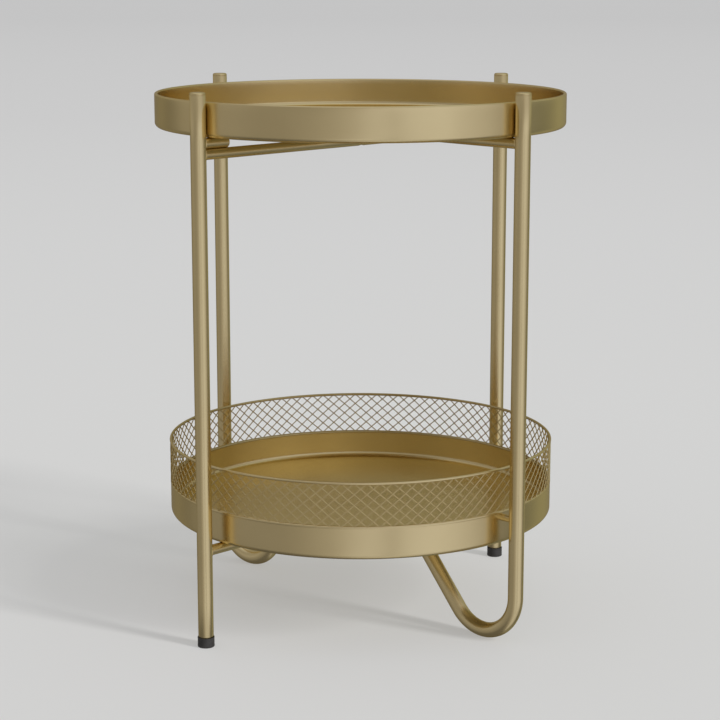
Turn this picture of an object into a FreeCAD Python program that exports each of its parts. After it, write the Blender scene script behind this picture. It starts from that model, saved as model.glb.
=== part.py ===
import FreeCAD, Part
import math
import os
import Sketcher

# Two-tier round side table, millimetres, +Z up.
# Origin: on the floor at the middle of the frame.
# Two upright tube frames cross at right angles under the trays:
#   front (-Y) and back (+Y) posts stand on rubber cups and carry three thin
#   rods; right (+X) and left (-X) posts turn round on the floor and climb
#   diagonally to a short level run under the lower tray.
# The lower tray has a diamond-wire gallery. The upper tray lifts off.

doc = FreeCAD.newDocument("side_table")
sheet = doc.addObject("Spreadsheet::Sheet", "Dimensions")

CELLS = [
    # tube frame
    ("tube_od", 16.0, "outer diameter of the posts and loop legs"),
    ("tube_wall", 1.2, "tube wall"),
    ("post_offset", 227.2, "axis of the table to the axis of each post"),
    ("post_height", 570.6, "top of the cut tubes above the floor"),
    ("post_base", 2.6, "bottom of the straight tubes, inside the cups"),
    ("bend_rad", 44.6, "centreline radius of every bend"),
    ("leg_angle", 48.55, "rise of the diagonal, degrees from level"),
    ("run_height", 88.5, "centreline of the level run under the tray"),
    ("joint_offset", -25.0, "where the two bent tubes meet along X"),
    ("sleeve_from", -55.0, "inner sleeve, left end"),
    ("sleeve_to", -5.0, "inner sleeve, right end"),
    ("sleeve_wall", 1.2, "inner sleeve wall"),
    ("slip_gap", 0.05, "radial slip gap of plugs and sleeves"),
    # rods
    ("rod_dia", 11.0, "crossbars and tray rests"),
    ("low_bar_height", 511.0, "centre of the lower of the two top crossbars"),
    ("high_bar_height", 522.0, "centre of the higher one"),
    ("base_bar_height", 102.0, "centre of the crossbar under the lower tray"),
    ("rest_inner", 190.5, "free end of each tray rest from the axis"),
    ("spacer_dia", 7.0, "pegs between loop posts and lower tray"),
    ("spacer_height", 135.2, "centre of these pegs"),
    # trays
    ("top_outer", 218.6, "outer radius of the top tray"),
    ("top_base", 527.5, "underside of the top tray"),
    ("top_depth", 35.7, "height of the top tray"),
    ("low_outer", 208.7, "outer radius of the lower tray"),
    ("low_base", 107.5, "underside of the lower tray"),
    ("low_depth", 32.4, "height of the lower tray wall before the bead"),
    ("wall_thick", 3.5, "tray wall"),
    ("floor_thick", 3.0, "tray floor"),
    ("floor_raise", 2.0, "floor underside above the foot ring"),
    ("foot_ring", 9.0, "width of the foot ring from the wall's outside"),
    ("corner_rad", 5.0, "outer bottom corner of the trays"),
    ("inner_rad", 5.0, "inner corner between floor and wall"),
    ("rim_rad", 1.7, "rounding of the top tray's rim"),
    # gallery
    ("bead_dia", 4.0, "bead on the lower tray wall"),
    ("bead_radius", 206.95, "radius of the bead's ring"),
    ("bead_height", 141.0, "centre of the bead"),
    ("rim_dia", 3.0, "ring on top of the mesh"),
    ("rim_ring", 207.7, "radius of this ring"),
    ("rim_height", 187.1, "centre of this ring"),
    ("wire_dia", 1.15, "mesh wire"),
    ("wire_count", 100, "wires leaning each way"),
    ("wire_slope", 41.04, "rise of each wire, degrees from level"),
    ("wire_inner", 207.05, "radius of the layer leaning left"),
    ("wire_outer", 208.32, "radius of the layer leaning right"),
    ("wire_phase_inner", 3.58, "where the inner layer starts round the axis, degrees"),
    ("wire_phase_outer", 3.47, "where the outer layer starts"),
    ("wire_top", 185.6, "upper end of the wires"),
    ("wire_base_inner", 143.0, "lower end of the inner layer"),
    ("wire_base_outer", 142.85, "lower end of the outer layer"),
    # feet, caps, screws
    ("cup_dia", 17.7, "rubber cup"),
    ("cup_height", 10.5, "rubber cup"),
    ("cup_round", 0.9, "rounding of the cup's lower edge"),
    ("cap_thick", 2.4, "visible disc of each tube cap"),
    ("cap_round", 2.0, "rounding of the cap"),
    ("cap_plug", 9.0, "plug of the cap inside the tube"),
    ("upper_screw", 5.0, "countersunk screw through the top crossbars"),
    ("upper_head", 8.4, "its head"),
    ("upper_sink", 1.0, "depth of the flat around its head"),
    ("upper_hex", 1.7, "its hex socket, centre to corner"),
    ("upper_hex_deep", 0.9, "depth of that socket"),
    ("lower_screw", 6.0, "screw through the level run"),
    ("lower_head", 10.0, "its head"),
    ("lower_head_len", 3.2, "its head height"),
    ("lower_hex", 2.6, "its hex socket, centre to corner"),
    ("lower_hex_deep", 2.0, "depth of that socket"),
    ("washer_dia", 13.0, "saddle washer"),
    ("washer_drop", 1.4, "washer below the tube's lowest line"),
    ("screw_gap", 0.25, "radial clearance of screw holes"),
]
VAL = {}
for i, (name, value, note) in enumerate(CELLS):
    row = i + 1
    sheet.set("A%d" % row, name)
    sheet.set("B%d" % row, str(value))
    sheet.set("C%d" % row, note)
    sheet.setAlias("B%d" % row, name)
    VAL[name] = float(value)
doc.recompute()


class Q:
    """A size: its number now, and the expression on the sheet that gives it."""

    def __init__(self, v, e):
        self.v, self.e = float(v), e

    @staticmethod
    def of(x):
        return x if isinstance(x, Q) else Q(x, "%.9g" % x if x >= 0 else "(%.9g)" % x)

    def _op(self, o, f, sign, flip=False):
        o = Q.of(o)
        a, b = (o, self) if flip else (self, o)
        return Q(f(a.v, b.v), "(%s %s %s)" % (a.e, sign, b.e))

    def __add__(self, o):
        return self._op(o, lambda a, b: a + b, "+")

    def __radd__(self, o):
        return self._op(o, lambda a, b: a + b, "+", True)

    def __sub__(self, o):
        return self._op(o, lambda a, b: a - b, "-")

    def __rsub__(self, o):
        return self._op(o, lambda a, b: a - b, "-", True)

    def __mul__(self, o):
        return self._op(o, lambda a, b: a * b, "*")

    def __rmul__(self, o):
        return self._op(o, lambda a, b: a * b, "*", True)

    def __truediv__(self, o):
        return self._op(o, lambda a, b: a / b, "/")

    def __neg__(self):
        return Q(-self.v, "(0 - %s)" % self.e)


def S(name):
    return Q(VAL[name], "Dimensions." + name)


def sin_q(a):
    return Q(math.sin(math.radians(a.v)), "sin(%s)" % a.e)


def cos_q(a):
    return Q(math.cos(math.radians(a.v)), "cos(%s)" % a.e)


def tan_q(a):
    return Q(math.tan(math.radians(a.v)), "tan(%s)" % a.e)


def bind(obj, prop, q):
    q = Q.of(q)
    obj.setExpression(prop, q.e)


def place(obj, x=0, y=0, z=0, axis=None, angle=0.0):
    x, y, z = Q.of(x), Q.of(y), Q.of(z)
    rot = FreeCAD.Rotation(FreeCAD.Vector(*axis), angle) if axis else FreeCAD.Rotation()
    obj.Placement = FreeCAD.Placement(FreeCAD.Vector(x.v, y.v, z.v), rot)
    for prop, q in (("x", x), ("y", y), ("z", z)):
        obj.setExpression("Placement.Base." + prop, q.e)


def cylinder(name, radius, length, x=0, y=0, z=0, axis=None, angle=0.0):
    o = doc.addObject("Part::Cylinder", name)
    bind(o, "Radius", radius)
    bind(o, "Height", length)
    place(o, x, y, z, axis, angle)
    return o


def torus(name, ring, section, z):
    o = doc.addObject("Part::Torus", name)
    bind(o, "Radius1", ring)
    bind(o, "Radius2", section)
    place(o, 0, 0, z)
    return o


def cut(name, base, *tools):
    if len(tools) == 1:
        tool = tools[0]
    else:
        tool = doc.addObject("Part::MultiFuse", name + "_tools")
        tool.Shapes = list(tools)
    o = doc.addObject("Part::Cut", name)
    o.Base = base
    o.Tool = tool
    return o


def group(name, *parts):
    o = doc.addObject("Part::Compound", name)
    o.Links = list(parts)
    return o


def plane_of(body, role):
    for f in body.Origin.OriginFeatures:
        if f.Role == role:
            return f
    raise RuntimeError(role)


def sketch_on(body, name, role, offset=None):
    sk = body.newObject("Sketcher::SketchObject", name)
    sk.AttachmentSupport = [(plane_of(body, role), "")]
    sk.MapMode = "FlatFace"
    if offset is not None:
        offset = Q.of(offset)
        sk.AttachmentOffset = FreeCAD.Placement(FreeCAD.Vector(0, 0, offset.v), FreeCAD.Rotation())
        sk.setExpression("AttachmentOffset.Base.z", offset.e)
    return sk


def dim(sk, kind, refs, q):
    """A driving dimension bound to the sheet."""
    q = Q.of(q)
    i = sk.addConstraint(Sketcher.Constraint(kind, *refs, q.v))
    sk.setExpression("Constraints[%d]" % i, q.e)
    return i


def circle_at(sk, x, y, r):
    x, y, r = Q.of(x), Q.of(y), Q.of(r)
    g = sk.addGeometry(Part.Circle(FreeCAD.Vector(x.v, y.v, 0), FreeCAD.Vector(0, 0, 1), r.v), False)
    dim(sk, "Radius", (g,), r)
    if abs(x.v) < 1e-9 and abs(y.v) < 1e-9:
        sk.addConstraint(Sketcher.Constraint("Coincident", g, 3, -1, 1))
    else:
        dim(sk, "DistanceX", (-1, 1, g, 3), x)
        if abs(y.v) < 1e-9:
            sk.addConstraint(Sketcher.Constraint("PointOnObject", g, 3, -1))
        else:
            dim(sk, "DistanceY", (-1, 1, g, 3), y)
    return g


def profile(sk, points):
    """A closed outline of straight lines through points, each pinned to the sheet."""
    pts = [(Q.of(a), Q.of(b)) for a, b in points]
    n = len(pts)
    first = None
    for i in range(n):
        a, b = pts[i], pts[(i + 1) % n]
        g = sk.addGeometry(
            Part.LineSegment(FreeCAD.Vector(a[0].v, a[1].v, 0), FreeCAD.Vector(b[0].v, b[1].v, 0)), False
        )
        if first is None:
            first = g
    for i in range(n):
        sk.addConstraint(Sketcher.Constraint("Coincident", first + i, 2, first + (i + 1) % n, 1))
    for i in range(n):
        x, z = pts[i]
        if abs(x.v) < 1e-9:
            sk.addConstraint(Sketcher.Constraint("PointOnObject", first + i, 1, -2))
        else:
            dim(sk, "DistanceX", (-1, 1, first + i, 1), x)
        if abs(z.v) < 1e-9:
            sk.addConstraint(Sketcher.Constraint("PointOnObject", first + i, 1, -1))
        else:
            dim(sk, "DistanceY", (-1, 1, first + i, 1), z)


def body_of(name):
    b = doc.addObject("PartDesign::Body", name)
    return b


def revolved(name, points):
    body = body_of(name)
    sk = sketch_on(body, name + "_section", "XZ_Plane")
    profile(sk, points)
    doc.recompute()
    rev = body.newObject("PartDesign::Revolution", name + "_turn")
    rev.Profile = sk
    rev.ReferenceAxis = (sk, ["V_Axis"])
    rev.Angle = 360.0
    body.Tip = rev
    doc.recompute()
    return body, rev


def ring_edges(feature, radius, z, tol=0.01):
    """Names of the circular edges of a feature at this radius and height."""
    out = []
    for i, e in enumerate(feature.Shape.Edges):
        c = e.Curve
        if isinstance(c, Part.Circle) and abs(c.Radius - radius) < tol and abs(c.Center.z - z) < tol:
            if math.hypot(c.Center.x, c.Center.y) < tol:
                out.append("Edge%d" % (i + 1))
    if not out:
        raise RuntimeError("no ring edge at r %.3f z %.3f" % (radius, z))
    return out


def fillet(body, base, name, rings, radius):
    f = body.newObject("PartDesign::Fillet", name)
    names = []
    for r, z in rings:
        names += ring_edges(base, Q.of(r).v, Q.of(z).v)
    f.Base = (base, names)
    f.Radius = Q.of(radius).v
    f.setExpression("Radius", Q.of(radius).e)
    body.Tip = f
    doc.recompute()
    return f


NODES = []


def keep(obj, label):
    obj.Label = label
    NODES.append((obj, label))
    return obj


tube_r = S("tube_od") / 2
bore_r = S("tube_od") / 2 - S("tube_wall")
rod_r = S("rod_dia") / 2
post = S("post_offset")
X_AXIS, Y_AXIS = (1, 0, 0), (0, 1, 0)

# ---------------------------------------------------------------- straight posts
for node, sign in (("front_post", -1), ("back_post", 1)):
    body = body_of(node)
    sk = sketch_on(body, node + "_ring", "XY_Plane", S("post_base"))
    circle_at(sk, 0, post * sign, tube_r)
    circle_at(sk, 0, post * sign, bore_r)
    pad = body.newObject("PartDesign::Pad", node + "_tube")
    pad.Profile = sk
    pad.Length = VAL["post_height"] - VAL["post_base"]
    bind(pad, "Length", S("post_height") - S("post_base"))
    body.Tip = pad
    keep(body, node)

# ---------------------------------------------------------------- bent legs
# Centreline in the XZ plane, from the top of the post: straight down, round the
# floor bend, up the diagonal, over the second bend, level to the joint.
bend = S("bend_rad")
rise = S("leg_angle")
floor_z = tube_r + bend
turn_x = post - bend
diag_x1 = turn_x - bend * sin_q(rise)
diag_z1 = floor_z - bend * cos_q(rise)
arch_z = S("run_height") - bend
diag_z2 = arch_z + bend * cos_q(rise)
diag_x2 = diag_x1 - (diag_z2 - diag_z1) / tan_q(rise)
arch_x = diag_x2 - bend * sin_q(rise)


def bent_leg(node, side, joint):
    """side +1 for the right leg, -1 for the left; joint is its inner end's X."""
    body = body_of(node + "_tube")
    path = sketch_on(body, node + "_path", "XZ_Plane")

    def p(x, z):
        return FreeCAD.Vector(side * Q.of(x).v, Q.of(z).v, 0)

    def arc(x, z, start, end):
        ring = Part.Circle(p(x, z), FreeCAD.Vector(0, 0, 1), bend.v)
        return path.addGeometry(Part.ArcOfCircle(ring, math.radians(start), math.radians(end)), False)

    up = VAL["leg_angle"]
    a5 = FreeCAD.Vector(joint.v, VAL["run_height"], 0)
    g0 = path.addGeometry(Part.LineSegment(p(post, S("post_height")), p(post, floor_z)), False)
    g1 = arc(turn_x, floor_z, -90 - up, 0) if side > 0 else arc(turn_x, floor_z, 180, 270 + up)
    g2 = path.addGeometry(Part.LineSegment(p(diag_x1, diag_z1), p(diag_x2, diag_z2)), False)
    g3 = arc(arch_x, arch_z, 90 - up, 90) if side > 0 else arc(arch_x, arch_z, 90, 90 + up)
    g4 = path.addGeometry(Part.LineSegment(p(arch_x, S("run_height")), a5), False)
    # arcs run anticlockwise, so which of their ends comes first depends on the side
    g1_top, g1_low = (2, 1) if side > 0 else (1, 2)
    g3_low, g3_top = (1, 2) if side > 0 else (2, 1)
    for ga, ka, gb, kb in ((g0, 2, g1, g1_top), (g1, g1_low, g2, 1), (g2, 2, g3, g3_low), (g3, g3_top, g4, 1)):
        path.addConstraint(Sketcher.Constraint("Coincident", ga, ka, gb, kb))

    def pin(g, k, x, z):
        x, z = Q.of(x), Q.of(z)
        if x.v < 0:
            dim(path, "DistanceX", (g, k, -1, 1), -x)
        else:
            dim(path, "DistanceX", (-1, 1, g, k), x)
        dim(path, "DistanceY", (-1, 1, g, k), z)

    pin(g0, 1, post * side, S("post_height"))
    pin(g0, 2, post * side, floor_z)
    pin(g2, 1, diag_x1 * side, diag_z1)
    pin(g2, 2, diag_x2 * side, diag_z2)
    pin(g4, 1, arch_x * side, S("run_height"))
    pin(g4, 2, joint, S("run_height"))
    dim(path, "Radius", (g1,), bend)
    dim(path, "Radius", (g3,), bend)

    ring = sketch_on(body, node + "_ring", "XY_Plane", S("post_height"))
    circle_at(ring, post * side, 0, tube_r)
    circle_at(ring, post * side, 0, bore_r)
    doc.recompute()
    pipe = body.newObject("PartDesign::AdditivePipe", node + "_bend")
    pipe.Profile = ring
    pipe.Spine = (path, ["Edge%d" % (i + 1) for i in range(5)])
    pipe.Mode = "Frenet"
    body.Tip = pipe
    doc.recompute()
    return body


right_tube = bent_leg("right_loop_leg", 1, S("joint_offset"))
left_tube = bent_leg("left_loop_leg", -1, S("joint_offset"))

screw_hole = S("lower_screw") / 2 + S("screw_gap")
hole = cylinder("level_run_hole", screw_hole, S("tube_od") + 8, 0, 0, S("run_height") - tube_r - 4)
keep(cut("right_loop_leg", right_tube, hole), "right_loop_leg")
keep(left_tube, "left_loop_leg")

sleeve_len = S("sleeve_to") - S("sleeve_from")
outer = cylinder("sleeve_outside", bore_r - S("slip_gap"), sleeve_len, S("sleeve_from"), 0, S("run_height"), Y_AXIS, 90)
inner = cylinder(
    "sleeve_inside", bore_r - S("slip_gap") - S("sleeve_wall"), sleeve_len + 4, S("sleeve_from") - 2, 0, S("run_height"), Y_AXIS, 90
)
keep(cut("leg_joint_sleeve", outer, inner), "leg_joint_sleeve")

# ---------------------------------------------------------------- crossbars
# Solid rods, coped against the posts they are welded to.
post_skin = {}
for key, x, y in (("front", 0, -1), ("back", 0, 1), ("right", 1, 0), ("left", -1, 0)):
    post_skin[key] = cylinder("weld_line_" + key, tube_r, 700, post * x if x else 0, post * y if y else 0, -10)


def rod(name, z, start, length, along, radius=rod_r):
    if along == "y":
        return cylinder(name, radius, length, 0, start, z, X_AXIS, -90)
    return cylinder(name, radius, length, start, 0, z, Y_AXIS, 90)


up_screw = S("upper_screw") / 2
# the lower of the two top crossbars has a clearance hole and a countersink
spot = S("low_bar_height") - rod_r
low_rod = rod("low_bar_rod", S("low_bar_height"), -post, post * 2, "y")
clear_hole = cylinder("low_bar_hole", up_screw + S("screw_gap"), S("rod_dia") + 4, 0, 0, spot - 2)
sink = doc.addObject("Part::Cone", "low_bar_sink")
bind(sink, "Radius1", S("upper_head") / 2 + 0.1)
bind(sink, "Radius2", up_screw)
bind(sink, "Height", S("upper_head") / 2 + 0.1 - up_screw)
place(sink, 0, 0, spot + S("upper_sink"))
sink_flat = cylinder("low_bar_flat", S("upper_head") / 2 + 0.1, S("upper_sink") + 2.0, 0, 0, spot - 2.0)
keep(
    cut("upper_crossbar_low", low_rod, post_skin["front"], post_skin["back"], clear_hole, sink, sink_flat),
    "upper_crossbar_low",
)

high_rod = rod("high_bar_rod", S("high_bar_height"), -post, post * 2, "x")
tap_hole = cylinder("high_bar_tap", up_screw, 7.0 + 2.0, 0, 0, S("high_bar_height") - rod_r - 2.0)
keep(cut("upper_crossbar_high", high_rod, post_skin["right"], post_skin["left"], tap_hole), "upper_crossbar_high")

base_rod = rod("base_bar_rod", S("base_bar_height"), -post, post * 2, "y")
base_tap = cylinder("base_bar_tap", S("lower_screw") / 2, 8.0 + 2.0, 0, 0, S("base_bar_height") - rod_r - 2.0)
keep(cut("lower_crossbar", base_rod, post_skin["front"], post_skin["back"], base_tap), "lower_crossbar")

# ---------------------------------------------------------------- tray rests
rest_len = post - S("rest_inner")
rest_f = rod("rest_rod_front", S("high_bar_height"), -post, rest_len, "y")
rest_b = rod("rest_rod_back", S("high_bar_height"), S("rest_inner"), rest_len, "y")
keep(
    group("tray_rest_stubs", cut("rest_front", rest_f, post_skin["front"]), cut("rest_back", rest_b, post_skin["back"])),
    "tray_rest_stubs",
)

# ---------------------------------------------------------------- tray spacers
# Pegs from the loop posts to the lower tray wall, coped at both ends.
tray_skin = cylinder("lower_tray_skin", S("low_outer"), 80, 0, 0, S("low_base") - 10)
sp_r = S("spacer_dia") / 2
sp_len = post - S("low_outer") + 4
sp_right = rod("spacer_rod_right", S("spacer_height"), S("low_outer") - 4, sp_len, "x", sp_r)
sp_left = rod("spacer_rod_left", S("spacer_height"), -post, sp_len, "x", sp_r)
keep(
    group(
        "tray_spacers",
        cut("spacer_right", sp_right, post_skin["right"], tray_skin),
        cut("spacer_left", sp_left, post_skin["left"], tray_skin),
    ),
    "tray_spacers",
)

# ---------------------------------------------------------------- tube caps
# A disc with a rounded edge on a plug; one profile, four places.
top_z = S("post_height")
cap_r = tube_r
plug_r = bore_r - S("slip_gap")
cap_body, cap_turn = revolved(
    "cap_form",
    [
        (0, top_z - S("cap_plug")),
        (plug_r, top_z - S("cap_plug")),
        (plug_r, top_z),
        (cap_r, top_z),
        (cap_r, top_z + S("cap_thick")),
        (0, top_z + S("cap_thick")),
    ],
)
cap_round = fillet(cap_body, cap_turn, "cap_edge", [(cap_r, top_z + S("cap_thick"))], S("cap_round"))
caps = []
for key, x, y in (("front", 0, -1), ("back", 0, 1), ("right", 1, 0), ("left", -1, 0)):
    c = doc.addObject("Part::Feature", "cap_" + key)
    c.Shape = cap_body.Shape.copy()
    place(c, post * x if x else 0, post * y if y else 0, 0)
    caps.append(c)
keep(group("post_top_caps", *caps), "post_top_caps")

# ---------------------------------------------------------------- rubber cups
for node, sign in (("front_foot", -1), ("back_foot", 1)):
    cup_r = S("cup_dia") / 2
    body = body_of(node)
    sk = sketch_on(body, node + "_disc", "XY_Plane")
    circle_at(sk, 0, post * sign, cup_r)
    pad = body.newObject("PartDesign::Pad", node + "_block")
    pad.Profile = sk
    pad.Length = VAL["cup_height"]
    bind(pad, "Length", S("cup_height"))
    body.Tip = pad
    doc.recompute()
    sk2 = sketch_on(body, node + "_bore", "XY_Plane", S("post_base"))
    circle_at(sk2, 0, post * sign, tube_r)
    doc.recompute()
    pocket = body.newObject("PartDesign::Pocket", node + "_socket")
    pocket.Profile = sk2
    pocket.Length = VAL["cup_height"]
    bind(pocket, "Length", S("cup_height"))
    pocket.Reversed = True
    body.Tip = pocket
    doc.recompute()
    names = []
    for i, e in enumerate(pocket.Shape.Edges):
        cv = e.Curve
        if isinstance(cv, Part.Circle) and abs(cv.Radius - cup_r.v) < 0.01 and abs(cv.Center.z) < 0.01:
            names.append("Edge%d" % (i + 1))
    rnd = body.newObject("PartDesign::Fillet", node + "_edge")
    rnd.Base = (pocket, names)
    rnd.Radius = VAL["cup_round"]
    rnd.setExpression("Radius", S("cup_round").e)
    body.Tip = rnd
    doc.recompute()
    keep(body, node)

# ---------------------------------------------------------------- screws
# Upper: countersunk from below, through the low bar, tapped into the high bar.
us_base = spot + S("upper_sink")
us_shank = cylinder("upper_screw_shank", up_screw, (S("high_bar_height") - rod_r + 6.0) - us_base, 0, 0, us_base)
us_head = doc.addObject("Part::Cone", "upper_screw_head")
bind(us_head, "Radius1", S("upper_head") / 2)
bind(us_head, "Radius2", up_screw)
bind(us_head, "Height", S("upper_head") / 2 - up_screw)
place(us_head, 0, 0, us_base)
us = doc.addObject("Part::Fuse", "upper_screw_blank")
us.Base, us.Tool = us_head, us_shank
us_hex = doc.addObject("Part::Prism", "upper_screw_hex")
us_hex.Polygon = 6
bind(us_hex, "Circumradius", S("upper_hex"))
bind(us_hex, "Height", S("upper_hex_deep") + 1.0)
place(us_hex, 0, 0, us_base - 1.0)
keep(cut("upper_crossing_screw", us, us_hex), "upper_crossing_screw")

# Lower: up through the saddle washer and the tube, tapped into the crossbar.
ls_seat = S("run_height") - tube_r - S("washer_drop")
ls_shank = cylinder(
    "lower_screw_shank", S("lower_screw") / 2, (S("base_bar_height") - rod_r + 7.0) - (ls_seat - 1.0), 0, 0, ls_seat - 1.0
)
ls_head = cylinder("lower_screw_head", S("lower_head") / 2, S("lower_head_len"), 0, 0, ls_seat - S("lower_head_len"))
ls = doc.addObject("Part::Fuse", "lower_screw_blank")
ls.Base, ls.Tool = ls_head, ls_shank
ls_hex = doc.addObject("Part::Prism", "lower_screw_hex")
ls_hex.Polygon = 6
bind(ls_hex, "Circumradius", S("lower_hex"))
bind(ls_hex, "Height", S("lower_hex_deep") + 1.0)
place(ls_hex, 0, 0, ls_seat - S("lower_head_len") - 1.0)
keep(cut("lower_crossing_screw", ls, ls_hex), "lower_crossing_screw")

# Saddle washer: flat below, hollowed to the tube above.
wa = cylinder("washer_blank", S("washer_dia") / 2, 5.0, 0, 0, ls_seat)
wa_tube = cylinder("washer_tube", tube_r, 40, -20, 0, S("run_height"), Y_AXIS, 90)
wa_hole = cylinder("washer_hole", screw_hole, 12, 0, 0, ls_seat - 3)
keep(cut("saddle_washer", wa, wa_tube, wa_hole), "saddle_washer")

# ---------------------------------------------------------------- trays
def tray_points(outer, base, height):
    ring_in = outer - S("foot_ring")
    deck = base + S("floor_raise")
    return [
        (0, deck),
        (ring_in - 2.0, deck),
        (ring_in, base),
        (outer, base),
        (outer, base + height),
        (outer - S("wall_thick"), base + height),
        (outer - S("wall_thick"), deck + S("floor_thick")),
        (0, deck + S("floor_thick")),
    ]


top_body, top_turn = revolved("top_tray", tray_points(S("top_outer"), S("top_base"), S("top_depth")))
t1 = fillet(top_body, top_turn, "top_tray_corner", [(S("top_outer"), S("top_base"))], S("corner_rad"))
t2 = fillet(
    top_body,
    t1,
    "top_tray_inside",
    [(S("top_outer") - S("wall_thick"), S("top_base") + S("floor_raise") + S("floor_thick"))],
    S("inner_rad"),
)
t3 = fillet(
    top_body,
    t2,
    "top_tray_rim",
    [
        (S("top_outer"), S("top_base") + S("top_depth")),
        (S("top_outer") - S("wall_thick"), S("top_base") + S("top_depth")),
    ],
    S("rim_rad"),
)
keep(top_body, "top_tray")

low_body, low_turn = revolved("lower_tray_form", tray_points(S("low_outer"), S("low_base"), S("low_depth")))
l1 = fillet(low_body, low_turn, "lower_tray_corner", [(S("low_outer"), S("low_base"))], S("corner_rad"))
l2 = fillet(
    low_body,
    l1,
    "lower_tray_inside",
    [(S("low_outer") - S("wall_thick"), S("low_base") + S("floor_raise") + S("floor_thick"))],
    S("inner_rad"),
)
bead_seat = torus("bead_seat", S("bead_radius"), S("bead_dia") / 2, S("bead_height"))
keep(cut("lower_tray", low_body, bead_seat), "lower_tray")

# ---------------------------------------------------------------- gallery rings
keep(torus("gallery_bottom_hem", S("bead_radius"), S("bead_dia") / 2, S("bead_height")), "gallery_bottom_hem")
keep(torus("gallery_top_rim", S("rim_ring"), S("rim_dia") / 2, S("rim_height")), "gallery_top_rim")

# ---------------------------------------------------------------- gallery wires
# Each wire follows the tray's round wall and rises at a steady slope; the two
# layers lean opposite ways and lie one wire's thickness apart.
doc.recompute()


def size(name):
    return float(sheet.get(name))


def wire_layer(name, ring, lean, z_low, z_high, phase):
    """One layer: wires evenly spaced round the axis, cut level where they meet the rings."""
    r_wire = size("wire_dia") / 2
    mean = size("rim_ring")
    turn = (z_high - z_low) / math.tan(math.radians(size("wire_slope"))) / mean
    spans = 4
    over = 0.12
    pts = []
    for i in range(spans + 1):
        t = -over + (1 + 2 * over) * i / spans
        a = lean * turn * (t - 0.5)
        pts.append(FreeCAD.Vector(ring * math.cos(a), ring * math.sin(a), z_low + (z_high - z_low) * t))
    spine = Part.makePolygon(pts)
    disc = Part.Wire([Part.makeCircle(r_wire, pts[0], pts[1] - pts[0])])
    long_wire = spine.makePipeShell([disc], True, False, 1)
    slab = Part.makeBox(60, 120, z_high - z_low, FreeCAD.Vector(ring - 30, -60, z_low))
    one = long_wire.common(slab)
    one = one.Solids[0]
    n = int(round(size("wire_count")))
    axis = FreeCAD.Vector(0, 0, 1)
    wires = []
    for k in range(n):
        w = one.copy()
        w.rotate(FreeCAD.Vector(0, 0, 0), axis, 360.0 * k / n + phase)
        wires.append(w)
    o = doc.addObject("Part::Feature", name)
    o.Shape = Part.makeCompound(wires)
    keep(o, name)
    return one


wire_layer(
    "gallery_left_hand_wires", size("wire_inner"), -1, size("wire_base_inner"), size("wire_top"), size("wire_phase_inner")
)
wire_layer(
    "gallery_right_hand_wires", size("wire_outer"), 1, size("wire_base_outer"), size("wire_top"), size("wire_phase_outer")
)

# ---------------------------------------------------------------- check and write
doc.recompute()
bad = []
for o in doc.Objects:
    if "Invalid" in o.State or "Error" in o.State:
        bad.append("%s: %s" % (o.Name, o.State))
for o, label in NODES:
    s = o.Shape
    if s.isNull() or not s.isValid() or not s.Solids:
        bad.append("%s: shape null, invalid or without a solid" % label)
if bad:
    raise RuntimeError("; ".join(bad))

os.makedirs("parts", exist_ok=True)
names = set(label + ".step" for _, label in NODES)
for old in os.listdir("parts"):
    if old.endswith(".step") and old not in names:
        os.remove(os.path.join("parts", old))
for o, label in NODES:
    s = o.Shape
    s.exportStep("parts/%s.step" % label)
    b = s.optimalBoundingBox(False, False)
    print(
        "%-26s solids %3d  vol %10.1f  x %8.2f %8.2f  y %8.2f %8.2f  z %7.2f %7.2f"
        % (label, len(s.Solids), s.Volume, b.XMin, b.XMax, b.YMin, b.YMax, b.ZMin, b.ZMax)
    )

# the pipes' volumes against section times length
sec = math.pi * (tube_r.v**2 - bore_r.v**2)
arc1 = bend.v * math.radians(90 + VAL["leg_angle"])
arc2 = bend.v * math.radians(VAL["leg_angle"])
diag = math.hypot(diag_x1.v - diag_x2.v, diag_z2.v - diag_z1.v)
for body, joint, side in ((right_tube, VAL["joint_offset"], 1), (left_tube, VAL["joint_offset"], -1)):
    length = (VAL["post_height"] - floor_z.v) + arc1 + diag + arc2 + abs(arch_x.v * side - joint)
    print("%s length %.1f volume %.1f expected %.1f" % (body.Name, length, body.Shape.Volume, sec * length))
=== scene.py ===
import math

import bmesh
import bpy
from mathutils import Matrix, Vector


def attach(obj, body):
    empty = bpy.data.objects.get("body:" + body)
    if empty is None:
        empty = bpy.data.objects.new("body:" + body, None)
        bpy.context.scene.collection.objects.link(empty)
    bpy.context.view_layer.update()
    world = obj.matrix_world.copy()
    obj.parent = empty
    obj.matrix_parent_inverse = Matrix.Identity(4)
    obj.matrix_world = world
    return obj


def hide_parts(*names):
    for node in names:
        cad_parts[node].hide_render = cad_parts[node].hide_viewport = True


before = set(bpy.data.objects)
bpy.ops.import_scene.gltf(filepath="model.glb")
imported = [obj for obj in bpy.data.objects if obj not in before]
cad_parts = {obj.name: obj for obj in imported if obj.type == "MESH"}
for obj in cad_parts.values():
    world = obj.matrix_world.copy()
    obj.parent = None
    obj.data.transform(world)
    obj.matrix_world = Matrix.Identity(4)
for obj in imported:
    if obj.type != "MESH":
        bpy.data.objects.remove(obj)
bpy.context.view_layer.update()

scene = bpy.context.scene
MM = 0.001


# ------------------------------------------------------------------ mesh tools
def finish_mesh(name, bm, material, angle=34.0):
    """bmesh to a smooth-shaded object whose folds sharper than angle stay crisp."""
    bmesh.ops.recalc_face_normals(bm, faces=bm.faces)
    me = bpy.data.meshes.new(name)
    bm.to_mesh(me)
    bm.free()
    for p in me.polygons:
        p.use_smooth = True
    me.set_sharp_from_angle(angle=math.radians(angle))
    me.materials.append(material)
    ob = bpy.data.objects.new(name, me)
    scene.collection.objects.link(ob)
    return ob


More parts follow.
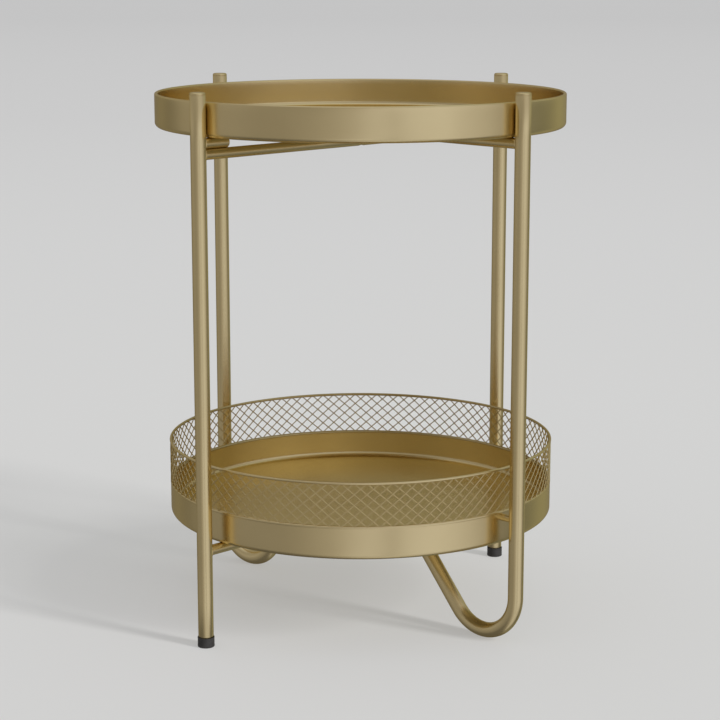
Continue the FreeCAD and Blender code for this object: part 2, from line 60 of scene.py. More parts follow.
def add_rings(bm, rings, closed_path=False, cap=True):
    """Skins a list of rings (lists of Vector, same length, each closed)."""
    vs = [[bm.verts.new(p * MM) for p in ring] for ring in rings]
    n = len(vs[0])
    last = len(vs) if closed_path else len(vs) - 1
    for i in range(last):
        a, b = vs[i], vs[(i + 1) % len(vs)]
        for j in range(n):
            k = (j + 1) % n
            bm.faces.new((a[j], a[k], b[k], b[j]))
    if cap and not closed_path:
        bm.faces.new(list(reversed(vs[0])))
        bm.faces.new(vs[-1])
    return vs


def revolve(bm, profile, n=360, cx=0.0, cy=0.0):
    """Turns a closed outline of (r, z) round the vertical through cx, cy. Points on the axis stay single."""
    cols = []
    for r, z in profile:
        if r < 1e-6:
            cols.append([bm.verts.new(Vector((cx, cy, z)) * MM)])
        else:
            cols.append(
                [
                    bm.verts.new(
                        Vector(
                            (
                                cx + r * math.cos(2 * math.pi * k / n),
                                cy + r * math.sin(2 * math.pi * k / n),
                                z,
                            )
                        )
                        * MM
                    )
                    for k in range(n)
                ]
            )
    m = len(cols)
    for i in range(m):
        a, b = cols[i], cols[(i + 1) % m]
        if len(a) == 1 and len(b) == 1:
            continue
        for k in range(n):
            l = (k + 1) % n
            if len(a) == 1:
                bm.faces.new((a[0], b[k], b[l]))
            elif len(b) == 1:
                bm.faces.new((a[k], a[l], b[0]))
            else:
                bm.faces.new((a[k], a[l], b[l], b[k]))


def arc(cx, cz, r, a0, a1, steps):
    """Points of an arc in an (r, z) outline, degrees."""
    return [
        (
            cx + r * math.cos(math.radians(a0 + (a1 - a0) * i / steps)),
            cz + r * math.sin(math.radians(a0 + (a1 - a0) * i / steps)),
        )
        for i in range(steps + 1)
    ]


# ------------------------------------------------------------------ materials
def new_material(name):
    m = bpy.data.materials.new(name)
    m.use_nodes = True
    nt = m.node_tree
    bsdf = next(n for n in nt.nodes if n.type == "BSDF_PRINCIPLED")
    return m, nt, bsdf


def noise(nt, coord, scale, detail, rough, location):
    n = nt.nodes.new("ShaderNodeTexNoise")
    n.inputs["Scale"].default_value = scale
    n.inputs["Detail"].default_value = detail
    n.inputs["Roughness"].default_value = rough
    n.location = location
    nt.links.new(coord, n.inputs["Vector"])
    return n


def ramp(nt, fac, stops):
    r = nt.nodes.new("ShaderNodeValToRGB")
    el = r.color_ramp.elements
    while len(el) > len(stops):
        el.remove(el[-1])
    while len(el) < len(stops):
        el.new(0.5)
    for e, (pos, col) in zip(el, stops):
        e.position = pos
        e.color = (*col, 1.0)
    nt.links.new(fac, r.inputs["Fac"])
    return r


def map_range(nt, value, lo, hi, out_lo, out_hi, smooth=False):
    m = nt.nodes.new("ShaderNodeMapRange")
    if smooth:
        m.interpolation_type = "SMOOTHSTEP"
    m.inputs["From Min"].default_value = lo
    m.inputs["From Max"].default_value = hi
    m.inputs["To Min"].default_value = out_lo
    m.inputs["To Max"].default_value = out_hi
    nt.links.new(value, m.inputs["Value"])
    return m


GOLD = (0.78, 0.637, 0.345)
EDGE = (0.88, 0.80, 0.55)  # how the paint's sheen keeps its colour at a glance


def painted_inner_shade(nt, tc, colour, inner_shade_level):
    """Darkens a colour where a surface faces the table's axis: painted shade on the mesh wires' inner side,
    standing in for the dimmer light they take from inside the basket.
    """
    flat = nt.nodes.new("ShaderNodeVectorMath")
    flat.operation = "MULTIPLY"
    flat.inputs[1].default_value = (1.0, 1.0, 0.0)
    nt.links.new(tc.outputs["Object"], flat.inputs[0])
    out = nt.nodes.new("ShaderNodeVectorMath")
    out.operation = "NORMALIZE"
    nt.links.new(flat.outputs["Vector"], out.inputs[0])
    face = nt.nodes.new("ShaderNodeVectorMath")
    face.operation = "DOT_PRODUCT"
    nt.links.new(out.outputs["Vector"], face.inputs[0])
    nt.links.new(tc.outputs["Normal"], face.inputs[1])
    level = map_range(nt, face.outputs["Value"], -0.55, 0.15, inner_shade_level, 1.0)
    scale = nt.nodes.new("ShaderNodeVectorMath")
    scale.operation = "SCALE"
    nt.links.new(colour, scale.inputs[0])
    nt.links.new(level.outputs["Result"], scale.inputs["Scale"])
    return scale.outputs["Vector"]


def satin_gold(name, tint=1.0, rough=0.25, grain=1.0, inner_shade_level=1.0):
    """Satin metallic paint: flake sparkle too fine to see singly, a faint orange peel, slightly uneven sheen."""
    m, nt, b = new_material(name)
    tc = nt.nodes.new("ShaderNodeTexCoord")
    obj = tc.outputs["Object"]
    b.inputs["Metallic"].default_value = 1.0
    b.inputs["IOR"].default_value = 1.5
    b.inputs["Specular Tint"].default_value = (*EDGE, 1.0)
    g = [c * tint for c in GOLD]
    cloud = noise(nt, obj, 14.0, 3.0, 0.55, (-900, 300))
    col = ramp(
        nt,
        cloud.outputs["Fac"],
        [
            (0.30, (g[0] * 0.975, g[1] * 0.972, g[2] * 0.965)),
            (0.70, (g[0] * 1.025, g[1] * 1.028, g[2] * 1.035)),
        ],
    )
    # unless its level is 1, the base colour gets painted shade on the side facing the table's axis
    base_with_painted_shade = col.outputs["Color"] if inner_shade_level == 1.0 else painted_inner_shade(nt, tc, col.outputs["Color"], inner_shade_level)
    nt.links.new(base_with_painted_shade, b.inputs["Base Color"])
    flake = noise(nt, obj, 3200.0, 1.0, 0.5, (-900, 0))
    wear = noise(nt, obj, 22.0, 3.0, 0.5, (-900, 150))
    sheen = map_range(nt, wear.outputs["Fac"], 0.3, 0.7, rough - 0.012, rough + 0.012)
    nt.links.new(sheen.outputs["Result"], b.inputs["Roughness"])
    peel = noise(nt, obj, 120.0, 1.0, 0.4, (-900, -300))
    mix = nt.nodes.new("ShaderNodeMath")
    mix.operation = "MULTIPLY_ADD"
    mix.inputs[1].default_value = 0.35
    nt.links.new(flake.outputs["Fac"], mix.inputs[0])
    nt.links.new(peel.outputs["Fac"], mix.inputs[2])
    bump = nt.nodes.new("ShaderNodeBump")
    bump.inputs["Strength"].default_value = 0.006 * grain
    bump.inputs["Distance"].default_value = 0.0001
    nt.links.new(mix.outputs[0], bump.inputs["Height"])
    nt.links.new(bump.outputs["Normal"], b.inputs["Normal"])
    return m


def black_rubber(name):
    m, nt, b = new_material(name)
    tc = nt.nodes.new("ShaderNodeTexCoord")
    obj = tc.outputs["Object"]
    dust = noise(nt, obj, 120.0, 4.0, 0.6, (-900, 300))
    col = ramp(nt, dust.outputs["Fac"], [(0.35, (0.026, 0.0247, 0.0235)), (0.75, (0.044, 0.042, 0.040))])
    nt.links.new(col.outputs["Color"], b.inputs["Base Color"])
    grain = noise(nt, obj, 1400.0, 2.0, 0.6, (-900, 0))
    r = map_range(nt, grain.outputs["Fac"], 0.3, 0.7, 0.50, 0.62)
    nt.links.new(r.outputs["Result"], b.inputs["Roughness"])
    bump = nt.nodes.new("ShaderNodeBump")
    bump.inputs["Strength"].default_value = 0.25
    bump.inputs["Distance"].default_value = 0.0001
    nt.links.new(grain.outputs["Fac"], bump.inputs["Height"])
    nt.links.new(bump.outputs["Normal"], b.inputs["Normal"])
    return m


def zinc(name):
    m, nt, b = new_material(name)
    tc = nt.nodes.new("ShaderNodeTexCoord")
    obj = tc.outputs["Object"]
    b.inputs["Metallic"].default_value = 1.0
    n1 = noise(nt, obj, 300.0, 4.0, 0.6, (-900, 300))
    col = ramp(nt, n1.outputs["Fac"], [(0.3, (0.50, 0.51, 0.52)), (0.7, (0.62, 0.62, 0.60))])
    nt.links.new(col.outputs["Color"], b.inputs["Base Color"])
    n2 = noise(nt, obj, 1500.0, 2.0, 0.5, (-900, 0))
    r = map_range(nt, n2.outputs["Fac"], 0.3, 0.7, 0.26, 0.36)
    nt.links.new(r.outputs["Result"], b.inputs["Roughness"])
    bump = nt.nodes.new("ShaderNodeBump")
    bump.inputs["Strength"].default_value = 0.2
    bump.inputs["Distance"].default_value = 0.00005
    nt.links.new(n2.outputs["Fac"], bump.inputs["Height"])
    nt.links.new(bump.outputs["Normal"], b.inputs["Normal"])
    return m


gold_tube = satin_gold("satin_gold_tube")
gold_tray = satin_gold("satin_gold_tray")
# the wires' colour carries painted shade, darker on their side facing the table's axis
gold_wire = satin_gold("satin_gold_wire", inner_shade_level=0.70)
rubber = black_rubber("moulded_black_rubber")
zinc_plate = zinc("bright_zinc_plate")

# ------------------------------------------------------------------ sizes, mm
POST = 227.2  # axis of the table to each post's axis
TUBE = 8.0
BORE = 6.8
TUBE_TOP = 570.6
CAP_TOP = 573.0
BEND = 44.6
RISE = 48.55
RUN_Z = 88.5
JOINT_X = -25.0
ROD = 5.5


# ------------------------------------------------------------------ posts
def straight_post(name, x, y, z0, z1):
    """A cut tube: outer wall, eased cut edges, bore."""
    bm = bmesh.new()
    e = 0.3
    outline = [(TUBE, z0 + e), (TUBE, z1 - e)]
    # the long walls carry a few rings so the paint's shading has something to hold
    wall = [(TUBE, z0 + e + (z1 - z0 - 2 * e) * i / 12) for i in range(13)]
    outline = wall + [(TUBE - e, z1), (BORE + 0.2, z1), (BORE, z1 - 0.2), (BORE, z0 + 0.2), (BORE + 0.2, z0), (TUBE - e, z0)]
    revolve(bm, outline, 96, x, y)
    ob = finish_mesh(name, bm, gold_tube, 50)
    return ob


front = straight_post("front_post_tube", 0, -POST, 2.6, TUBE_TOP)
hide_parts("front_post")
back = straight_post("back_post_tube", 0, POST, 2.6, TUBE_TOP)
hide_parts("back_post")


# ------------------------------------------------------------------ loop legs
def leg_path(side):
    """Centreline of a bent leg in the XZ plane: points and unit tangents, from the post's top inwards."""
    up = math.radians(RISE)
    fz = TUBE + BEND
    tx = POST - BEND
    x1 = tx - BEND * math.sin(up)
    z1 = fz - BEND * math.cos(up)
    az = RUN_Z - BEND
    z2 = az + BEND * math.cos(up)
    x2 = x1 - (z2 - z1) / math.tan(up)
    ax = x2 - BEND * math.sin(up)
    pts = []
    for i in range(13):
        z = TUBE_TOP + (fz - TUBE_TOP) * i / 12
        pts.append(((POST, z), (0.0, -1.0)))
    steps = 56
    total = 90 + RISE
    for i in range(1, steps + 1):
        a = math.radians(-total * i / steps)
        pts.append(((tx + BEND * math.cos(a), fz + BEND * math.sin(a)), (math.sin(a), -math.cos(a))))
    for i in range(1, 7):
        t = i / 6
        pts.append(((x1 + (x2 - x1) * t, z1 + (z2 - z1) * t), (-math.cos(up), math.sin(up))))
    steps = 24
    for i in range(1, steps + 1):
        a = math.radians(90 - RISE + RISE * i / steps)
        pts.append(((ax + BEND * math.cos(a), az + BEND * math.sin(a)), (-math.sin(a), math.cos(a))))
    end = JOINT_X * side
    for i in range(1, 7):
        t = i / 6
        pts.append(((ax + (end - ax) * t, RUN_Z), (-1.0, 0.0)))
    return [(Vector((side * p[0], 0, p[1])), Vector((side * t[0], 0, t[1]))) for p, t in pts]


def tube_ring(p, t, r, n=64):
    b = Vector((0, 1, 0))
    nrm = b.cross(t).normalized()
    return [p + (nrm * math.cos(2 * math.pi * j / n) + b * math.sin(2 * math.pi * j / n)) * r for j in range(n)]


def bent_tube(name, side):
    path = leg_path(side)
    bm = bmesh.new()
    e = 0.3
    p0, t0 = path[0]
    p1, t1 = path[-1]
    rings = [tube_ring(p0, t0, BORE), tube_ring(p0, t0, TUBE - e), tube_ring(p0 + t0 * e, t0, TUBE)]
    rings += [tube_ring(p, t, TUBE) for p, t in path[1:-1]]
    rings += [tube_ring(p1 - t1 * e, t1, TUBE), tube_ring(p1, t1, TUBE - e), tube_ring(p1, t1, BORE)]
    rings += [tube_ring(p, t, BORE) for p, t in reversed(path[1:-1])]
    add_rings(bm, rings, closed_path=True)
    return finish_mesh(name, bm, gold_tube, 50)


right = bent_tube("right_loop_tube", 1)
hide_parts("right_loop_leg")
left = bent_tube("left_loop_tube", -1)
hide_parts("left_loop_leg")


# ------------------------------------------------------------------ tube caps
def caps(name):
    bm = bmesh.new()
    r = TUBE
    k = 2.0
    outline = (
        [(0, 561.8), (6.2, 561.8), (6.7, 562.4), (6.7, TUBE_TOP), (r - 0.1, TUBE_TOP), (r, TUBE_TOP + 0.1)]
        + arc(r - k, CAP_TOP - k, k, 0, 90, 12)
        + [(r - 4.0, CAP_TOP), (0, CAP_TOP)]
    )
    for x, y in ((0, -POST), (0, POST), (POST, 0), (-POST, 0)):
        revolve(bm, outline, 72, x, y)
    return finish_mesh(name, bm, gold_tube, 40)


cap = caps("tube_caps")
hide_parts("post_top_caps")


# ------------------------------------------------------------------ rubber cups
def cup(name, y):
    """A moulded cup: eased lip, faint parting step, rounded heel, treaded sole."""
    bm = bmesh.new()
    r = 8.84
    h = 10.5
    outline = (
        [(0, 2.6), (0, 0.7), (2.6, 0.7), (2.9, 0.0), (4.3, 0.0), (4.6, 0.7), (5.8, 0.7), (6.1, 0.0), (r - 0.9, 0.0)]
        + arc(r - 0.9, 0.9, 0.9, -90, 0, 8)
        + [(r, 2.0), (r - 0.12, 2.4), (r - 0.12, h - 1.5), (r - 0.02, h - 1.2), (r - 0.02, h - 0.35)]
        + arc(r - 0.37, h - 0.35, 0.35, 0, 90, 5)
        + [(8.25, h), (8.02, h - 0.25), (8.02, 2.6)]
    )
    revolve(bm, outline, 96, 0, y)
    return finish_mesh(name, bm, rubber, 32)


foot_f = cup("front_rubber_cup", -POST)
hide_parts("front_foot")
foot_b = cup("back_rubber_cup", POST)
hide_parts("back_foot")


# ------------------------------------------------------------------ rods with coped ends
def rod(bm, along, a, b, z, radius=ROD, cope_a=None, cope_b=None, n=48, steps=10):
    """A round rod. along is 'x' or 'y'; a cope is (centre, radius) of the upright that the end is cut to fit."""

    def end(pos, cope, s, inward):
        if cope is None:
            return pos
        c, r = cope
        return c + inward * math.sqrt(max(r * r - s * s, 0.0))

    rings = []
    for i in range(steps + 1):
        ring = []
        for j in range(n):
            ang = 2 * math.pi * j / n
            s, h = radius * math.cos(ang), radius * math.sin(ang)
            pa, pb = end(a, cope_a, s, 1), end(b, cope_b, s, -1)
            t = pa + (pb - pa) * i / steps
            ring.append(Vector((t, s, z + h)) if along == "x" else Vector((s, t, z + h)))
        rings.append(ring)
    add_rings(bm, rings)


def weld(bm, along, centre, upright, inward, z, radius=ROD, size=0.75, n=48, m=10):
    """A small bead where a rod meets an upright: follows the saddle-shaped joint."""
    pts = []
    for j in range(n):
        ang = 2 * math.pi * j / n
        rr = radius + size * 0.15
        s, h = rr * math.cos(ang), rr * math.sin(ang)
        t = centre + inward * math.sqrt(max((upright + size * 0.15) ** 2 - s * s, 0.0))
        pts.append(Vector((t, s, z + h)) if along == "x" else Vector((s, t, z + h)))
    rings = []
    for j in range(n):
        p = pts[j]
        tan = (pts[(j + 1) % n] - pts[j - 1]).normalized()
        axis = Vector((1, 0, 0)) if along == "x" else Vector((0, 1, 0))
        u = (axis - tan * axis.dot(tan)).normalized()
        v = tan.cross(u)
        wob = 1.0 + 0.07 * math.sin(ang_wob(j, n))
        rings.append([p + (u * math.cos(2 * math.pi * k / m) + v * math.sin(2 * math.pi * k / m)) * size * wob for k in range(m)])
    add_rings(bm, rings, closed_path=True)


def ang_wob(j, n):
    return 2 * math.pi * j / n * 9


def one_rod(name, node, spans):
    bm = bmesh.new()
    for s in spans:
        rod(bm, **s)
    ob = finish_mesh(name, bm, gold_tube, 50)
    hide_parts(node)
    return ob


rests = one_rod(
    "tray_rests",
    "tray_rest_stubs",
    [
        dict(along="y", a=-POST, b=-190.5, z=522.0, cope_a=(-POST, TUBE)),
        dict(along="y", a=190.5, b=POST, z=522.0, cope_b=(POST, TUBE)),
    ],
)
pegs = one_rod(
    "tray_pegs",
    "tray_spacers",
    [
        dict(along="x", a=208.7, b=POST, z=135.2, radius=3.5, cope_a=(0, 208.65), cope_b=(POST, TUBE), steps=2),
        dict(along="x", a=-POST, b=-208.7, z=135.2, radius=3.5, cope_a=(-POST, TUBE), cope_b=(0, 208.65), steps=2),
    ],
)

bm = bmesh.new()
for sgn in (-1, 1):
    weld(bm, "y", sgn * POST, TUBE, -sgn, 511.0)
    weld(bm, "y", sgn * POST, TUBE, -sgn, 522.0)
    weld(bm, "y", sgn * POST, TUBE, -sgn, 102.0)
    weld(bm, "x", sgn * POST, TUBE, -sgn, 522.0)
    weld(bm, "x", sgn * POST, TUBE, -sgn, 135.2, radius=3.5, size=0.5)
welds = finish_mesh("weld_beads", bm, gold_tube, 60)


# ------------------------------------------------------------------ trays
def tray_outline(outer, base, top, rim):
    """Section of a tray: foot ring, raised deck, filleted corners; rim is the outline over the wall's top."""
    deck = base + 2.0
    floor = deck + 3.0
    inner = outer - 3.5
    ring_in = outer - 9.0
    pts = [(0, deck)] + [((ring_in - 2.0) * i / 8, deck) for i in range(1, 9)]
    pts += [(ring_in - 1.9, deck - 0.03), (ring_in - 0.15, base + 0.06), (ring_in, base), (outer - 5.0, base)]
    pts += arc(outer - 5.0, base + 5.0, 5.0, -90, 0, 14)[1:]
    h0, h1 = base + 5.0, rim[0][1]
    pts += [(outer, h0 + (h1 - h0) * i / 5) for i in range(1, 5)]
    pts += rim
    h2 = rim[-1][1]
    pts += [(inner, h2 + (floor + 5.0 - h2) * i / 5) for i in range(1, 5)]
    pts += arc(inner - 5.0, floor + 5.0, 5.0, 0, -90, 14)
    pts += [((inner - 5.0) * (10 - i) / 10, floor) for i in range(1, 10)] + [(0, floor)]
    return pts


bm = bmesh.new()
R, TOP = 218.6, 563.2
revolve(bm, tray_outline(R, 527.5, TOP, arc(R - 1.75, TOP - 1.75, 1.75, 0, 180, 16)), 480)
top_tray = finish_mesh("upper_tray", bm, gold_tray, 32)
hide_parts("top_tray")

bm = bmesh.new()
R, TOP = 208.7, 140.03
revolve(bm, tray_outline(R, 107.5, TOP, [(R, TOP), (R - 0.6, TOP), (R - 2.9, TOP), (R - 3.5, TOP)]), 480)
low_tray = finish_mesh("shelf_tray", bm, gold_tray, 32)
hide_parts("lower_tray")


# ------------------------------------------------------------------ gallery
def ring_tube(name, node, ring_r, r, z, n=480, m=24):
    bm = bmesh.new()
    revolve(bm, arc(ring_r, z, r, 0, 360, m)[:-1], n)
    ob = finish_mesh(name, bm, gold_wire, 60)
    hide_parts(node)
    return ob


hem = ring_tube("gallery_bead", "gallery_bottom_hem", 206.95, 2.0, 141.0)
rim = ring_tube("gallery_rim_ring", "gallery_top_rim", 207.7, 1.5, 187.1)

WIRES = 100
WIRE_R = 0.575
SLOPE = 1.0 / math.tan(math.radians(41.04)) / 207.7  # turn per mm of height
Z_TOP = 185.6
LAYERS = {
    # lean, radius, foot on the bead, start of the layer in degrees
    "left": (-1, 207.05, 143.0, 3.58),
    "right": (1, 208.32, 142.85, 3.47),
}


def wire_angle(layer, k, z):
    lean, rr, z0, phase = LAYERS[layer]
    return lean * SLOPE * (z - (z0 + Z_TOP) / 2) + math.radians(phase + 360.0 * k / WIRES)


def wires(name, node, layer, m=8, steps=18):
    lean, rr, z0, phase = LAYERS[layer]
    lo = z0 - (0.35 if layer == "left" else 0.6)
    hi = Z_TOP + 0.35
    bm = bmesh.new()
    for k in range(WIRES):
        rings = []
        for i in range(steps + 1):
            z = lo + (hi - lo) * i / steps
            a = wire_angle(layer, k, z)
            er = Vector((math.cos(a), math.sin(a), 0))
            et = Vector((-math.sin(a), math.cos(a), 0))
            tan = (et * (lean * SLOPE * rr) + Vector((0, 0, 1))).normalized()
            side = tan.cross(er)
            p = er * rr + Vector((0, 0, z))
            rings.append([p + (er * math.cos(2 * math.pi * j / m) + side * math.sin(2 * math.pi * j / m)) * WIRE_R for j in range(m)])
        add_rings(bm, rings)
    ob = finish_mesh(name, bm, gold_wire, 70)
    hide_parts(node)
    return ob


wires_l = wires("mesh_wires_left", "gallery_left_hand_wires", "left")
wires_r = wires("mesh_wires_right", "gallery_right_hand_wires", "right")


def nuggets(name):
    """Resistance-weld flats where the two layers cross."""
    (ll, rl, zl, pl), (lr, rr, zr, pr) = LAYERS["left"], LAYERS["right"]
    ml, mr = (zl + Z_TOP) / 2, (zr + Z_TOP) / 2
    step = 2 * math.pi / WIRES
    bm = bmesh.new()
    for k in range(-12, 13):
        z = (math.radians(pl - pr) + SLOPE * (ml + mr) + k * step) / (2 * SLOPE)
        if not 144.2 < z < 184.6:
            continue
        for i in range(WIRES):
            a = wire_angle("left", i, z)
            er = Vector((math.cos(a), math.sin(a), 0))
            et = Vector((-math.sin(a), math.cos(a), 0))
            ez = Vector((0, 0, 1))
            c = er * ((rl + rr) / 2) + ez * z
            rows = []
            for u in (-0.62, 0.0, 0.62):
                q = 0.82 if u == 0.0 else 0.45
                rows.append([c + er * u + (et * math.cos(math.pi * j / 3) + ez * math.sin(math.pi * j / 3)) * q for j in range(6)])
            add_rings(bm, rows)
    return finish_mesh(name, bm, gold_wire, 80)


nug = nuggets("mesh_weld_spots")

# ------------------------------------------------------------------ carried-over CAD pieces
for node in ("upper_crossbar_low", "upper_crossbar_high", "lower_crossbar"):
    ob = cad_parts[node]
    ob.data.materials.clear()
    ob.data.materials.append(gold_tube)
for node in ("leg_joint_sleeve", "upper_crossing_screw", "lower_crossing_screw", "saddle_washer"):
    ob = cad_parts[node]
    ob.data.materials.clear()
    ob.data.materials.append(zinc_plate)

# ------------------------------------------------------------------ what rides on what
for ob in (front, back, right, left, cap, foot_f, foot_b, rests, pegs, welds, low_tray, hem, rim, wires_l, wires_r, nug):
    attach(ob, "frame")
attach(top_tray, "top_tray_body")

# ------------------------------------------------------------------ stage
CAM_DIR = Vector((1, -1, 0)).normalized()  # from the table towards the camera, level
RIGHT = Vector((1, 1, 0)).normalized()


def floor_material():
    """Matt paper sweep: part reflected light, part painted light (an emitted glow), so shadows stay as pale as on a
    lit sweep; colour and glow both get darker further off, painted falloff of light.
    """
    m, nt, b = new_material("pale_studio_floor")
    tc = nt.nodes.new("ShaderNodeTexCoord")
    ln = nt.nodes.new("ShaderNodeVectorMath")
    ln.operation = "LENGTH"
    nt.links.new(tc.outputs["Object"], ln.inputs[0])
    far = map_range(nt, ln.outputs["Value"], 1.0, 20.0, 0.0, 1.0)
    col = ramp(nt, far.outputs["Result"], [(0.0, (0.40, 0.40, 0.398)), (1.0, (0.36, 0.36, 0.36))])
    nt.links.new(col.outputs["Color"], b.inputs["Base Color"])
    b.inputs["Roughness"].default_value = 0.9
    b.inputs["Specular IOR Level"].default_value = 0.0
    # painted light: the paper glows, brighter near the table and dimmer further off
    painted_glow = ramp(nt, far.outputs["Result"], [(0.0, (0.338, 0.339, 0.335)), (0.10, (0.327, 0.328, 0.327)), (0.30, (0.296, 0.296, 0.297)), (1.0, (0.276, 0.276, 0.277))])
    nt.links.new(painted_glow.outputs["Color"], b.inputs["Emission Color"])
    b.inputs["Emission Strength"].default_value = 1.0
    return m


bm = bmesh.new()
steps = [0, 0.3, 0.6, 1, 2, 4, 8, 16, 24, 36]
rings = [[bm.verts.new((r * math.cos(math.radians(a)), r * math.sin(math.radians(a)), 0)) for a in range(0, 360, 4)] for r in steps[1:]]
c0 = bm.verts.new((0, 0, 0))
for j in range(len(rings[0])):
    bm.faces.new((c0, rings[0][j], rings[0][(j + 1) % len(rings[0])]))
for a, b in zip(rings, rings[1:]):
    for j in range(len(a)):
        k = (j + 1) % len(a)
        bm.faces.new((a[j], b[j], b[k], a[k]))
bmesh.ops.recalc_face_normals(bm, faces=bm.faces)
me = bpy.data.meshes.new("studio_floor")
bm.to_mesh(me)
bm.free()
me.materials.append(floor_material())
floor = bpy.data.objects.new("studio_floor", me)
scene.collection.objects.link(floor)
floor.visible_glossy = False
floor.visible_shadow = False


# ------------------------------------------------------------------ light
# studio tent seen level with the table: (degrees round from the camera, positive to its right, level)
TENT = [
    (-180, 0.26),
    (-154, 0.225),
    (-145, 0.29),
    (-138, 0.235),
    (-130, 0.185),
    (-122, 0.24),
    (-116, 0.33),
    (-80, 0.335),
    (-52, 0.3),
    (-36, 0.325),
    (-20, 0.37),
    (-14, 0.385),
    (-7, 0.44),
    (-1, 0.51),
    (5, 0.585),
    (12, 0.65),
    (15, 0.61),
    (18, 0.36),
    (21, 0.57),
    (26, 0.62),
    (48, 0.675),
    (58, 0.56),
    (73, 0.51),
    (80, 0.465),
    (91, 0.33),
    (103, 0.23),
    (117, 0.195),
    (130, 0.255),
    (137, 0.35),
    (144, 0.4),
    (153, 0.335),
    (165, 0.25),
]
# the same a good way below the level, where the lit paper widens the bright part
TENT_MID = [
    (-180, 0.24),
    (-152, 0.23),
    (-141, 0.26),
    (-126, 0.205),
    (-110, 0.235),
    (-82, 0.265),
    (-60, 0.275),
    (-46, 0.28),
    (-36, 0.32),
    (-16, 0.445),
    (-9, 0.535),
    (-2, 0.63),
    (6, 0.635),
    (13, 0.61),
    (18, 0.29),
    (23, 0.58),
    (30, 0.655),
    (50, 0.69),
    (62, 0.62),
    (71, 0.58),
    (79, 0.44),
    (89, 0.2),
    (108, 0.18),
    (122, 0.25),
    (134, 0.35),
    (150, 0.32),
    (165, 0.24),
]
# just above the level, which is what the insides of the trays pass on
TENT_HIGH = [
    (-180, 0.28),
    (-140, 0.34),
    (-104, 0.40),
    (-67, 0.385),
    (-50, 0.315),
    (-35, 0.295),
    (-20, 0.335),
    (0, 0.475),
    (12, 0.64),
    (35, 0.70),
    (50, 0.70),
    (67, 0.66),
    (85, 0.50),
    (98, 0.37),
    (114, 0.38),
    (128, 0.43),
    (142, 0.40),
    (160, 0.29),
]
TENT_TOP = [
    (-180, 0.35),
    (-30, 0.33),
    (5, 0.37),
    (20, 0.50),
    (60, 0.52),
    (90, 0.42),
    (120, 0.37),
]
# the roof
TENT_ROOF = [(-180, 0.56), (-20, 0.56), (40, 0.60), (100, 0.56)]
# what the metal sees well below the level: the lit paper in front, the table's own shade elsewhere
TENT_LOW = [
    (-180, 0.13),
    (-100, 0.13),
    (-55, 0.15),
    (-20, 0.34),
    (5, 0.54),
    (55, 0.56),
    (74, 0.36),
    (92, 0.13),
    (106, 0.13),
    (128, 0.26),
    (150, 0.26),
    (170, 0.14),
]


def tone(a, v):
    """The bright sheets are daylight cool, the dim ones a touch warm, the one behind the table's right faintly green."""
    cool = min(max((v - 0.34) / 0.30, 0.0), 1.0)
    green = 1.0 if 96 < a < 158 else 0.0
    return (v * (1.0 - 0.02 * green), v * (0.961 + 0.054 * cool + 0.044 * green), v * (0.927 + 0.19 * cool - 0.048 * green))


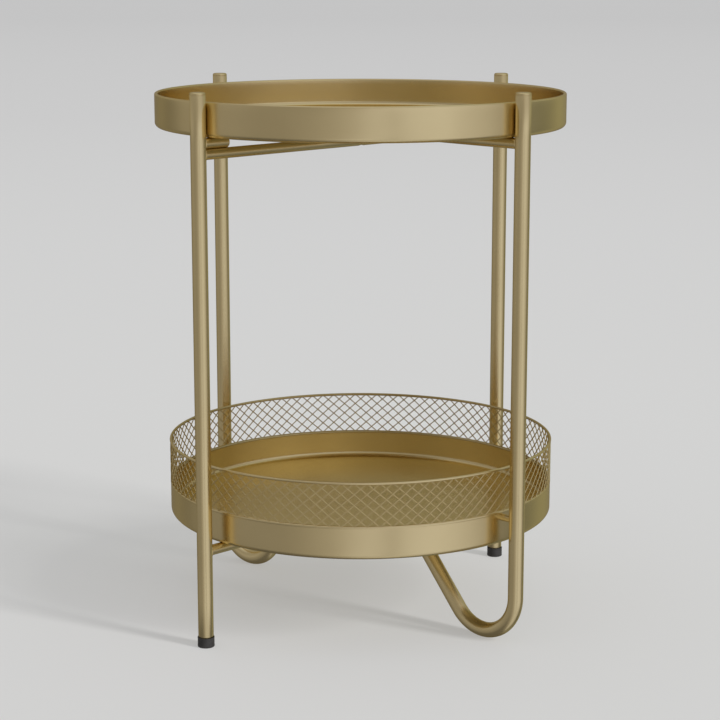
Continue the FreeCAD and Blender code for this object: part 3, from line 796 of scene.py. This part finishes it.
def studio_world():
    w = bpy.data.worlds.new("studio")
    scene.world = w
    w.use_nodes = True
    nt = w.node_tree
    nt.nodes.clear()
    tc = nt.nodes.new("ShaderNodeTexCoord")

    def dot(v):
        n = nt.nodes.new("ShaderNodeVectorMath")
        n.operation = "DOT_PRODUCT"
        n.inputs[1].default_value = v
        nt.links.new(tc.outputs["Generated"], n.inputs[0])
        return n.outputs["Value"]

    fwd, side, up = dot(CAM_DIR), dot(RIGHT), dot((0, 0, 1))
    az = nt.nodes.new("ShaderNodeMath")
    az.operation = "ARCTAN2"
    nt.links.new(side, az.inputs[0])
    nt.links.new(fwd, az.inputs[1])
    turn = map_range(nt, az.outputs[0], -math.pi, math.pi, 0.0, 1.0)
    def around(levels):
        return ramp(nt, turn.outputs["Result"], [((a + 180) / 360, tone(a, v)) for a, v in levels]).outputs["Color"]

    def fade(lo, hi, smooth=False):
        return map_range(nt, up, lo, hi, 0.0, 1.0, smooth).outputs["Result"]

    def blend(fac, a, b):
        n = nt.nodes.new("ShaderNodeMix")
        n.data_type = "RGBA"
        nt.links.new(fac, n.inputs[0])
        nt.links.new(a, n.inputs[6])
        nt.links.new(b, n.inputs[7])
        return n.outputs[2]

    total = blend(fade(-0.04, 0.05), around(TENT), around(TENT_HIGH))
    total = blend(fade(0.10, 0.44, True), total, around(TENT_TOP))
    total = blend(fade(0.58, 0.92, True), total, around(TENT_ROOF))
    total = blend(fade(-0.12, -0.36), total, around(TENT_MID))
    total = blend(fade(-0.40, -0.74, True), total, around(TENT_LOW))
    bg = nt.nodes.new("ShaderNodeBackground")
    nt.links.new(total, bg.inputs["Color"])
    bg.inputs["Strength"].default_value = 1.0
    # seen straight on, past the end of the floor, it is the same pale paper
    paper = nt.nodes.new("ShaderNodeBackground")
    paper.inputs["Color"].default_value = (0.562, 0.562, 0.562, 1.0)
    paper.inputs["Strength"].default_value = 1.0
    path = nt.nodes.new("ShaderNodeLightPath")
    pick = nt.nodes.new("ShaderNodeMixShader")
    nt.links.new(path.outputs["Is Camera Ray"], pick.inputs[0])
    nt.links.new(bg.outputs["Background"], pick.inputs[1])
    nt.links.new(paper.outputs["Background"], pick.inputs[2])
    out = nt.nodes.new("ShaderNodeOutputWorld")
    nt.links.new(pick.outputs[0], out.inputs["Surface"])


studio_world()


def key_light(name, azimuth, elevation, size, strength):
    """A distant soft light that only matt things take; the metal shows the tent instead."""
    sun = bpy.data.lights.new(name, "SUN")
    sun.energy = strength
    sun.angle = math.radians(size)
    sun.color = (1.0, 0.99, 0.975)
    ob = bpy.data.objects.new(name, sun)
    scene.collection.objects.link(ob)
    a, e = math.radians(azimuth), math.radians(elevation)
    to_light = (CAM_DIR * math.cos(a) + RIGHT * math.sin(a)) * math.cos(e) + Vector((0, 0, math.sin(e)))
    ob.rotation_mode = "QUATERNION"
    ob.rotation_quaternion = to_light.to_track_quat("Z", "Y")
    ob.visible_glossy = False


# a tall narrow softbox at the right, as four discs one above the other
for i, (elevation, strength) in enumerate(((8.5, 0.86), (17.0, 0.62), (25.5, 0.66), (34.0, 0.69))):
    key_light("key_%d" % i, 59.5, elevation, 9.0, strength)

# ------------------------------------------------------------------ camera
cam = bpy.data.cameras.new("camera")
cam.sensor_width = 36.0
cam.lens = 100.17
cam.clip_start, cam.clip_end = 0.05, 400
camera = bpy.data.objects.new("camera", cam)
scene.collection.objects.link(camera)
camera.location = (1.51764 - 0.0003, -1.51776 - 0.0003, 0.70757)
pitch = math.radians(11.49)
look = -CAM_DIR * math.cos(pitch) - Vector((0, 0, math.sin(pitch)))
camera.rotation_mode = "QUATERNION"
camera.rotation_quaternion = look.to_track_quat("-Z", "Y")
scene.camera = camera

scene.view_settings.view_transform = "Standard"
scene.view_settings.look = "None"
